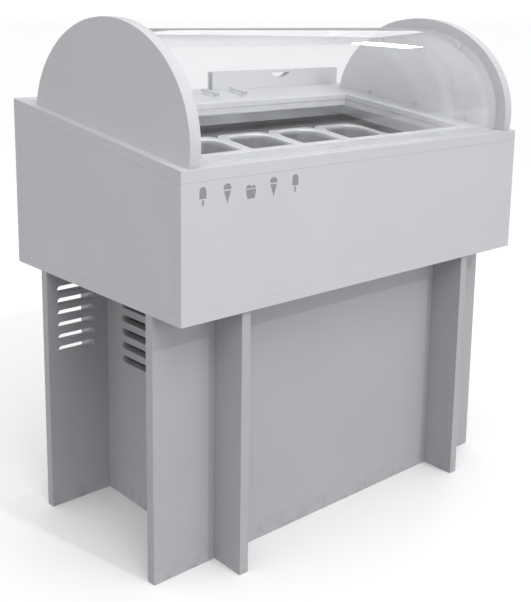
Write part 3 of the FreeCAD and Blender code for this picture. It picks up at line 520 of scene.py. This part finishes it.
SCREW_STEPS = 24
WASHER_STEPS = 28
WASHER_THICK = 0.8 * MM
SCREW_ON_WASHER = 0.7 * MM
COVER_SCREW = (4 * MM, 2 * MM)
PLATE_SCREW = (3 * MM, 1.6 * MM)
CHEEK_SCREW = (4 * MM, 2.2 * MM)
CHEEK_WASHER = 7 * MM
CHEEK_SCREWS_UP_SLOPE = (0.120, 0.2826, 0.445)
CHEEK_SCREW_RISE = 0.009


def cross_points(reach, half):
    """The outline of a cross recess."""
    return [(reach, -half), (reach, half), (half, half), (half, reach), (-half, reach), (-half, half),
            (-reach, half), (-reach, -half), (-half, -half), (-half, -reach), (half, -reach), (half, -half)]


def add_screw_head(builder, place, radius, height, turn):
    """A domed head with a cross recess; place carries +Z along the head's outward normal."""
    rings = []
    for share, lift in ((1.0, 0.0), (1.0, 0.25), (0.93, 0.6), (0.78, 0.86), (0.58, 1.0)):
        ring = [(x, y, height * lift) for x, y in circle(radius * share, SCREW_STEPS)]
        rings.append([builder.verts.new(place @ Vector(point)) for point in ring])
    for lower, upper in zip(rings, rings[1:]):
        join_rings(builder, lower, upper)
    spun = place @ Matrix.Rotation(turn, 4, "Z")
    outline = cross_points(radius * 0.46, radius * 0.11)
    brim, recess = ([builder.verts.new(spun @ Vector((x, y, height * level))) for x, y in outline]
                    for level in (1.0, 0.45))
    edges = []
    for loop in (rings[-1], brim):
        for index in range(len(loop)):
            pair = (loop[index], loop[(index + 1) % len(loop)])
            edges.append(builder.edges.get(pair) or builder.edges.new(pair))
    bmesh.ops.triangle_fill(builder, edges=edges, use_beauty=True)
    join_rings(builder, brim, recess)
    builder.faces.new(recess)


def add_washer(builder, place, radius):
    """A flat washer under a screw head."""
    hole = radius * 0.45
    profile = ((hole, 0.0), (radius, 0.0), (radius, WASHER_THICK * 0.8), (radius * 0.97, WASHER_THICK),
               (hole, WASHER_THICK))
    loops = [[place @ Vector((x, y, lift)) for x, y in circle(reach, WASHER_STEPS)]
             for reach, lift in profile]
    skin(builder, loops + loops[:1], close_last=False)


def facing(direction, place):
    """A matrix at a place with +Z along a direction."""
    return Matrix.Translation(place) @ Vector(direction).to_track_quat("Z", "Y").to_matrix().to_4x4()


def make_screws(name, node, places, head, washer=0.0):
    """Cross-head screws in place of a node's plain heads, each turned differently."""
    radius, height = head
    builder = bmesh.new()
    for index, place in enumerate(places):
        if washer:
            add_washer(builder, place, washer)
        lifted = place @ Matrix.Translation((0, 0, SCREW_ON_WASHER if washer else 0))
        add_screw_head(builder, lifted, radius, height, math.radians(23 + 67 * index))
    screws = piece_from(builder, name, "cabinet", "zinc_steel", smooth=False)
    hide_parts(node)


def corner_places(node, radius):
    """The four corner screws of a node, on its rear-facing plate."""
    low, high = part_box(node)
    return [facing((0, 1, 0), (x, low[1], z)) for x in (low[0] + radius, high[0] - radius)
            for z in (low[2] + radius, high[2] - radius)]


def cheek_places():
    """The screws along the foot of each cheek, on its inner face."""
    low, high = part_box("cheek_screws")
    places = []
    for x, way in ((low[0], 1), (high[0], -1)):
        for up_the_slope in CHEEK_SCREWS_UP_SLOPE:
            spot = SLOPE @ Vector((0, up_the_slope, CHEEK_SCREW_RISE))
            places.append(facing((way, 0, 0), (x, spot.y, spot.z)))
    return places


def make_all_screws():
    """Every visible screw: the service cover, the control plate and the cheeks."""
    for name, node, head in (("cover_screws", "service_cover_screws", COVER_SCREW),
                             ("plate_screws", "control_plate_screws", PLATE_SCREW)):
        make_screws(name, node, corner_places(node, head[0]), head)
    make_screws("cheek_washers_and_screws", "cheek_screws", cheek_places(), CHEEK_SCREW, CHEEK_WASHER)


# ---------------------------------------------------------------- machine


FIN_COUNT = 78
FIN_HALF_THICK = 0.2 * MM
BLADE_COUNT = 5
BLADE_STEPS = 8
BLADE_ROOT = 22 * MM
BLADE_SHEET = 1.6 * MM
BLADE_CAMBER = 3 * MM
BLADE_DEPTH = 10 * MM
BLADE_ROOT_PITCH = 42
BLADE_TWIST = 16
BLADE_SWEEP = 0.12
HUB_RADIUS = 24 * MM
HUB_STEPS = 24
HOOD_ROWS = 8
HOOD_PITCH = 30 * MM
HOOD_MARGIN = 22 * MM
HOOD_HALF_LENGTH = 69 * MM
HOOD_HALF_HEIGHT = 6.5 * MM
HOOD_BULGE = 6 * MM
HOOD_SHEET = 0.9 * MM
HOOD_LENGTH_STEPS = 18
HOOD_ARC_STEPS = 7
HOOD_DROP = 0.72


def make_condenser_fins():
    """Thin fins on the condenser block, seen through the stand's vents."""
    coil_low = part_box("condenser_coil")[0]
    shroud_low, shroud_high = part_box("fan_shroud")
    left, right = coil_low[0] + 1.4 * MM, shroud_low[0] - 0.5 * MM
    front, rear = shroud_low[1] + 6 * MM, shroud_high[1] - 6 * MM
    bottom, top = shroud_low[2] + 17 * MM, shroud_high[2] - 2 * MM
    outline = ((left, bottom), (right, bottom), (right, top), (left, top))
    builder = bmesh.new()
    for index in range(FIN_COUNT):
        y = front + (rear - front) * index / (FIN_COUNT - 1)
        sides = [[builder.verts.new((x, y + offset, z)) for x, z in outline]
                 for offset in (-FIN_HALF_THICK, FIN_HALF_THICK)]
        builder.faces.new(sides[0])
        builder.faces.new(sides[1])
        join_rings(builder, *sides)
    piece_from(builder, "condenser_fins", "cabinet", "fin_aluminium", smooth=False)


def blade_point(share_out, across, radius):
    """A point on a cambered blade that points up; share_out and across run 0 to 1 and -1 to 1."""
    out = BLADE_ROOT + (radius - BLADE_ROOT) * share_out
    width = (26 + 20 * math.sin(math.pi * (0.15 + 0.6 * share_out))) * MM
    pitch = math.radians(BLADE_ROOT_PITCH - BLADE_TWIST * share_out)
    camber = BLADE_CAMBER * (1 - across * across)
    lead = BLADE_SWEEP * (out / radius) * (1 - across) * 0.5
    y = across * width * math.cos(pitch) - camber * math.sin(pitch)
    x = across * BLADE_DEPTH * math.sin(pitch) + camber * math.cos(pitch) * 0.6
    length = math.sqrt(max(out * out - y * y, (20 * MM) ** 2))
    return Matrix.Rotation(lead, 4, "X") @ Vector((x, y, length))


def make_blades(centre, radius):
    """The fan's cambered blades."""
    builder = bmesh.new()
    for index in range(BLADE_COUNT):
        turn = math.radians(360 / BLADE_COUNT * index)
        spoke = Matrix.Translation(centre) @ Matrix.Rotation(turn, 4, "X")
        rows = []
        for step in range(BLADE_STEPS + 1):
            points = [blade_point(step / BLADE_STEPS, (side_step / BLADE_STEPS - 0.5) * 2, radius)
                      for side_step in range(BLADE_STEPS + 1)]
            rows.append([builder.verts.new(spoke @ point) for point in points])
        join_grid(builder, rows)
    blades = piece_from(builder, "fan_blades", "fan", "black_plastic")
    thicken(blades, BLADE_SHEET, 0.0)
    return blades


def make_hub(centre, half):
    """The fan's domed hub."""
    builder = bmesh.new()
    bore = 4 * MM
    profile = ((bore, half * 0.98), (HUB_RADIUS, half * 0.98), (HUB_RADIUS, -half * 0.6),
               (HUB_RADIUS - 3 * MM, -half * 0.85), (HUB_RADIUS / 2, -half), (bore, -half))
    loops = [[centre + Vector((along, y, z)) for y, z in circle(reach, HUB_STEPS)]
             for reach, along in profile]
    skin(builder, loops + loops[:1], close_last=False)
    hub = piece_from(builder, "fan_hub", "fan", "black_plastic", smooth=False)
    soften(hub, 0.8 * MM)


def make_fan():
    """Cambered blades on a domed hub, in place of the flat CAD blades."""
    low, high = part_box("condenser_fan")
    centre = box_centre("condenser_fan")
    radius = min(high[1] - low[1], high[2] - low[2]) / 2 - 1 * MM
    blades = make_blades(centre, radius)
    make_hub(centre, (high[0] - low[0]) / 2)
    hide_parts("condenser_fan")


def add_hood(builder, middle):
    """A pressed hood with tapered ends, open along its lower side."""
    rows = []
    for step in range(HOOD_LENGTH_STEPS + 1):
        along = 2 * step / HOOD_LENGTH_STEPS - 1
        full = math.sqrt(max(1 - along ** 6, 0.0))
        row = []
        for arc_step in range(HOOD_ARC_STEPS + 1):
            turn = math.radians(90 * arc_step / HOOD_ARC_STEPS)
            out = HOOD_BULGE * full * math.sin(turn)
            up = HOOD_HALF_HEIGHT - 2 * HOOD_HALF_HEIGHT * (1 - math.cos(turn)) * HOOD_DROP
            row.append(builder.verts.new(middle + Vector((along * HOOD_HALF_LENGTH, out, up))))
        rows.append(row)
    join_grid(builder, rows)


def make_louvres():
    """Pressed hoods over the service cover's slots."""
    low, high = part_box("service_cover")
    left, right = low[0] + HOOD_MARGIN, high[0] - HOOD_MARGIN
    lowest = low[2] + HOOD_MARGIN + 40 * MM
    builder = bmesh.new()
    for row in range(HOOD_ROWS):
        for middle in ((left * 3 + right) / 4, (left + right * 3) / 4):
            add_hood(builder, Vector((middle, high[1], lowest + HOOD_PITCH * row)))
    hoods = piece_from(builder, "cover_louvres", "cabinet", "white_steel")
    thicken(hoods, HOOD_SHEET)


# ---------------------------------------------------------------- controls


REAR_FACING = Matrix(((-1, 0, 0, 0), (0, 0, 1, 0), (0, 1, 0, 0), (0, 0, 0, 1)))
MARK_HEIGHT = 0.08 * MM
# The knob's radius, its distance out from the plate and how deep it is fluted, in millimetres.
KNOB_PROFILE = ((18.9, 0.0, 0.0), (19.0, 0.8, 0.0), (18.2, 3.6, 0.0), (15.4, 4.4, 0.0), (14.6, 5.4, 1.0),
                (14.0, 17.5, 1.0), (13.2, 19.4, 0.5), (11.6, 20.2, 0.0))
KNOB_STEPS = 96
KNOB_FLUTES = 16
FLUTE_DEPTH = 0.45
POINTER_HALF = 0.8 * MM
POINTER_THICK = 0.4 * MM
DIAL_LAST = 7
DIAL_START = 225
DIAL_SWEEP = 270
DIAL_RADIUS = 26 * MM
DIAL_TEXT = 6.5 * MM


def add_mark(name, text, size, place, body, ink):
    """A short generic mark, such as a dial number, that faces the operator."""
    curve = bpy.data.curves.new(name, "FONT")
    curve.body = text
    curve.size = size
    curve.extrude = MARK_HEIGHT
    curve.align_x = "CENTER"
    curve.align_y = "CENTER"
    curve.materials.append(ink)
    mark = bpy.data.objects.new(name, curve)
    bpy.context.scene.collection.objects.link(mark)
    mark.matrix_world = Matrix.Translation(place) @ REAR_FACING
    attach(mark, body)


def add_plaque(builder, outline, middle, thick, way=1):
    """A flat raised shape from an outline in X and Z, standing out along Y."""
    sides = [[builder.verts.new(middle + Vector((x, way * depth, z))) for x, z in outline]
             for depth in (0, thick)]
    builder.faces.new(sides[0])
    builder.faces.new(sides[1])
    join_rings(builder, *sides)


def make_knob_body(centre, foot):
    """A fluted knob in place of the plain CAD knob."""
    loops = []
    for reach, out, fluted in KNOB_PROFILE:
        loop = []
        for step in range(KNOB_STEPS):
            turn = 2 * math.pi * step / KNOB_STEPS
            radius = (reach - FLUTE_DEPTH * fluted * (1 + math.cos(KNOB_FLUTES * turn))) * MM
            loop.append((centre.x + radius * math.cos(turn), foot + out * MM,
                         centre.z + radius * math.sin(turn)))
        loops.append(loop)
    builder = bmesh.new()
    skin(builder, loops)
    knob = piece_from(builder, "fluted_knob", "knob", "black_plastic")
    split_edges(knob, 50)
    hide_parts("thermostat_knob")


def make_knob_pointer(centre, face):
    """The white line on the knob's face."""
    half = POINTER_HALF
    outline = [(-half, 3 * MM), (half, 3 * MM), (half, 12.2 * MM), (0, 13.2 * MM), (-half, 12.2 * MM)]
    builder = bmesh.new()
    add_plaque(builder, outline, Vector((centre.x, face, centre.z)), POINTER_THICK)
    piece_from(builder, "knob_pointer", "knob", "black_plastic", smooth=False, material=WHITE_INK)


def make_dial_numbers(centre):
    """The numbers round the knob, from 0 at its lower left as the operator sees it."""
    plate_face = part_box("control_plate")[1][1]
    for number in range(DIAL_LAST + 1):
        turn = math.radians(DIAL_START - DIAL_SWEEP * number / DIAL_LAST)
        spot = Vector((centre.x - DIAL_RADIUS * math.cos(turn), plate_face,
                       centre.z + DIAL_RADIUS * math.sin(turn)))
        add_mark(f"dial_number_{number}", str(number), DIAL_TEXT, spot, "cabinet", GREY_INK)


def make_knob():
    """The knob, its pointer and its dial."""
    centre = box_centre("thermostat_knob")
    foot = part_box("thermostat_knob")[0][1]
    make_knob_body(centre, foot)
    make_knob_pointer(centre, foot + KNOB_PROFILE[-1][1] * MM)
    make_dial_numbers(centre)


# Each segment's place across and up, as shares of half a digit, and whether it lies flat.
SEGMENTS = {
    "a": (0, 1, 1), "b": (1, 0.5, 0), "c": (1, -0.5, 0), "d": (0, -1, 1),
    "e": (-1, -0.5, 0), "f": (-1, 0.5, 0), "g": (0, 0, 1),
}
DIGITS = {"-": "g", "1": "bc", "8": "abcdefg"}
DIGIT_PITCH = 11 * MM
DIGIT_HALF_WIDTH = 3.2 * MM
DIGIT_HALF_HEIGHT = 6.2 * MM
FLAT_SEGMENT = (2.6 * MM, 0.65 * MM)
UPRIGHT_SEGMENT = (0.65 * MM, 2.5 * MM)
WINDOW_SIZE = (20 * MM, 10 * MM, 1.5 * MM)
WINDOW_SINK = 1.1 * MM
WINDOW_THICK = 0.5 * MM
SEGMENT_SINK = 0.6 * MM
SEGMENT_THICK = 0.15 * MM


def segment_outline(key, shift):
    """A segment's outline: a bar with cut corners."""
    across, up, flat = SEGMENTS[key]
    length, breadth = FLAT_SEGMENT if flat else UPRIGHT_SEGMENT
    bar = ((-1, -0.4), (-0.6, -1), (0.6, -1), (1, -0.4), (1, 0.4), (0.6, 1), (-0.6, 1), (-1, 0.4))
    middle_x, middle_z = shift - across * DIGIT_HALF_WIDTH, up * DIGIT_HALF_HEIGHT
    return [(middle_x + length * x, middle_z + breadth * z) for x, z in bar]


def make_display():
    """A dark window with a three-place number, -18, in red segments."""
    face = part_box("temperature_display")[1][1]
    centre = box_centre("temperature_display")
    window = bmesh.new()
    add_plaque(window, rounded_loop(*WINDOW_SIZE),
               Vector((centre.x, face - WINDOW_SINK, centre.z)), WINDOW_THICK)
    dark = make_plastic("dark_window", (0.012, 0.008, 0.008), 0.08, 50.0, 0.0, 0.6)
    piece_from(window, "display_window", "cabinet", "black_plastic", smooth=False, material=dark)
    segments = bmesh.new()
    for place, digit in enumerate("-18"):
        for key in DIGITS[digit]:
            add_plaque(segments, segment_outline(key, (1 - place) * DIGIT_PITCH),
                       Vector((centre.x, face - SEGMENT_SINK, centre.z)), SEGMENT_THICK)
    piece_from(segments, "display_segments", "cabinet", "black_plastic", smooth=False, material=RED_GLOW)


def make_switch_marks():
    """The on and off signs on the rocker, set in as the tilted rocker's face needs."""
    low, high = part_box("power_switch")
    middle = (low[0] + high[0]) / 2
    for name, text, share, sink in (("rocker_on_mark", "I", 0.22, 0.66 * MM),
                                    ("rocker_off_mark", "O", 0.78, 1.32 * MM)):
        spot = Vector((middle, high[1] - sink, low[2] + (high[2] - low[2]) * share))
        add_mark(name, text, 6 * MM, spot, "rocker", WHITE_INK)


# ---------------------------------------------------------------- badge


# The signs' places and shapes are in millimetres.
ARC_STEPS = 14
BADGE_FIRST_X = -465
BADGE_PITCH = 58
BADGE_Z = 806
BADGE_THICK = 0.25 * MM


def arc(centre, radius, start, end):
    """Points on an arc, from start to end degrees."""
    points = []
    for step in range(ARC_STEPS + 1):
        turn = math.radians(start + (end - start) * step / ARC_STEPS)
        points.append((centre[0] + radius * math.cos(turn), centre[1] + radius * math.sin(turn)))
    return points


def cone_sign():
    """A scoop above a wafer cone."""
    return [arc((0, 7), 9.5, -10, 190), [(-8.5, 2.5), (8.5, 2.5), (0, -21)]]


def tub_sign():
    """A tub with two scoops in it."""
    tub = [(-13, -1), (13, -1), (9, -19), (-9, -19)]
    return [arc((-5.5, 1), 7, 0, 180), arc((6.5, 1), 5.5, 0, 180), tub]


def lolly_sign():
    """An ice lolly on its stick."""
    body = [(8, -6)] + arc((0, 8), 8, 0, 180) + [(-8, -6)]
    return [body, [(-2, -8), (2, -8), (2, -19), (-2, -19)]]


def make_badge():
    """A row of plain ice cream signs on the front panel, printed in grey."""
    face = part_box("box_front_panel")[0][1]
    builder = bmesh.new()
    for index, sign in enumerate((lolly_sign, cone_sign, tub_sign, cone_sign, lolly_sign)):
        centre = Vector(((BADGE_FIRST_X + BADGE_PITCH * index) * MM, face, BADGE_Z * MM))
        for outline in sign():
            add_plaque(builder, [(x * MM, z * MM) for x, z in outline], centre, BADGE_THICK, way=-1)
    piece_from(builder, "front_badge", "cabinet", "white_laminate", smooth=False, material=GREY_INK)


# ---------------------------------------------------------------- finish of the CAD nodes


EDGE_WIDTHS = {
    "white_laminate": 0.8, "grey_laminate": 0.8, "white_plastic": 1.2, "stainless": 0.5, "white_steel": 0.5,
    "black_plastic": 0.5, "zinc_steel": 0.4, "guide_aluminium": 0.3, "raw_board": 0.5,
}
# Nodes shown in another material than their slot's own (the pan rails in steel darkened as painted shade for the
# gap behind the pans), and nodes whose flat triangles are joined.
OTHER_MATERIALS = {"pan_rails": "dull_steel"}
WHOLE_FACED = ("stand_rear_board",)
PANS = [f"pan_{number}" for number in range(1, PAN_COUNT + 1)]


def dress_cad_nodes():
    """Gives every CAD node its material and, where its slot has an edge width, slightly rounded edges; the pans
    are replaced later.
    """
    slots = {entry["node"]: entry["material_slot"] for entry in frame["record"]["subparts"]}
    for name, node in nodes.items():
        for slot in node.material_slots:
            slot.material = MATERIALS[OTHER_MATERIALS.get(name, slots[name])]
        if slots[name] in EDGE_WIDTHS and name not in PANS:
            soften(node, EDGE_WIDTHS[slots[name]] * MM, whole_faces=name in WHOLE_FACED)


dress_cad_nodes()
for pan_number in range(1, PAN_COUNT + 1):
    make_pan(pan_number)
make_canopy()
make_all_screws()
make_condenser_fins()
make_fan()
make_louvres()
make_knob()
make_display()
make_switch_marks()
make_badge()


# ---------------------------------------------------------------- floor, light, camera


FLOOR_HALF = 300.0
# Brightness of the surround by height, from straight down (0) over the horizon (0.5) to straight up (1).
SKY_STOPS = ((0.0, 0.17), (0.485, 0.22), (0.498, 0.66), (0.515, 0.66), (0.535, 0.31), (0.675, 0.28),
             (1.0, 0.76))
SKY_STRENGTH = 1.78
# Each soft light's name, place, target, size and power.
AREA_LIGHTS = (
    ("front_softbox", (-1.0, -1.5, 2.2), (0, -0.2, 0.7), (0.8, 0.8), 9.0),
    ("front_window", (0.8, -5.0, 1.5), (0, -0.3, 0.6), (4.0, 2.4), 56.0),
    ("right_softbox", (2.46, 0.76, 2.78), (0.18, -0.17, 1.07), (0.50, 0.12), 6.0),
    ("far_window", (2.55, 2.35, 2.45), (0, 0, 1.0), (1.7, 0.8), 3.2),
    ("left_window", (-5.0, 0.3, 1.2), (-0.5, 0.0, 0.7), (3.0, 2.0), 14.0),
)
CAMERA_PLACE = (-1.5118, -1.6315, 1.1268)
CAMERA_YAW_PITCH_ROLL = (40.231, 10.630, 0.459)
CAMERA_LENS = 56.58
CAMERA_SENSOR = 36.0
CAMERA_SHIFT = (0.0547, -0.1788)


def make_floor():
    """A wide pale floor."""
    mesh = bpy.data.meshes.new("floor")
    half = FLOOR_HALF
    corners = [(-half, -half, 0), (half, -half, 0), (half, half, 0), (-half, half, 0)]
    mesh.from_pydata(corners, [], [(0, 1, 2, 3)])
    material, _, shader = new_material("pale_floor")
    shader.inputs["Base Color"].default_value = (0.97, 0.97, 0.97, 1.0)
    shader.inputs["Roughness"].default_value = 0.9
    mesh.materials.append(material)
    floor = bpy.data.objects.new("floor", mesh)
    bpy.context.scene.collection.objects.link(floor)
    floor.visible_diffuse = False


def make_world():
    """A soft surround: bright overhead, dim at eye level, pale along the horizon."""
    world = bpy.data.worlds.new("studio")
    world.use_nodes = True
    tree = world.node_tree
    background = tree.nodes["Background"]
    source = tree.nodes.new("ShaderNodeTexCoord")
    split = tree.nodes.new("ShaderNodeSeparateXYZ")
    ramp = tree.nodes.new("ShaderNodeValToRGB")
    tree.links.new(source.outputs["Generated"], split.inputs["Vector"])
    tree.links.new(spread(tree, split.outputs["Z"], 0.0, 1.0, -1.0, 1.0), ramp.inputs["Fac"])
    bands = ramp.color_ramp.elements
    for index, (place, level) in enumerate(SKY_STOPS):
        band = bands[index] if index < len(bands) else bands.new(place)
        band.position = place
        band.color = (level, level, level * 1.01, 1.0)
    tree.links.new(ramp.outputs["Color"], background.inputs["Color"])
    background.inputs["Strength"].default_value = SKY_STRENGTH
    bpy.context.scene.world = world


def add_area(name, place, target, size, power):
    """A soft rectangular light at a place, turned to a target."""
    light = bpy.data.lights.new(name, "AREA")
    light.shape = "RECTANGLE"
    light.size, light.size_y = size
    light.energy = power
    lamp = bpy.data.objects.new(name, light)
    lamp.location = place
    lamp.rotation_euler = (Vector(target) - Vector(place)).to_track_quat("-Z", "Y").to_euler()
    bpy.context.scene.collection.objects.link(lamp)


def add_sun(name, towards, strength, width):
    """A distant light that comes from a direction."""
    light = bpy.data.lights.new(name, "SUN")
    light.energy = strength
    light.angle = math.radians(width)
    lamp = bpy.data.objects.new(name, light)
    lamp.rotation_euler = Vector(towards).to_track_quat("Z", "Y").to_euler()
    bpy.context.scene.collection.objects.link(lamp)


def make_camera():
    """The camera: to the customer's left of the cabinet, a little above its top."""
    data = bpy.data.cameras.new("camera")
    data.sensor_width = CAMERA_SENSOR
    data.lens = CAMERA_LENS
    data.shift_x, data.shift_y = CAMERA_SHIFT
    camera = bpy.data.objects.new("camera", data)
    bpy.context.scene.collection.objects.link(camera)
    yaw, pitch, roll = (math.radians(angle) for angle in CAMERA_YAW_PITCH_ROLL)
    forward = Vector((math.sin(yaw) * math.cos(pitch), math.cos(yaw) * math.cos(pitch), -math.sin(pitch)))
    level_right = Vector((math.cos(yaw), -math.sin(yaw), 0))
    level_up = level_right.cross(forward)
    right = level_right * math.cos(roll) + level_up * math.sin(roll)
    up = level_up * math.cos(roll) - level_right * math.sin(roll)
    turn = Matrix((right, up, -forward)).transposed().to_4x4()
    camera.matrix_world = Matrix.Translation(CAMERA_PLACE) @ turn
    bpy.context.scene.camera = camera


make_floor()
make_world()
add_sun("key_light", (0.21, -1.0, 0.78), 0.50, 2.5)
for area_light in AREA_LIGHTS:
    add_area(*area_light)
make_camera()
bpy.context.scene.view_settings.view_transform = "Standard"
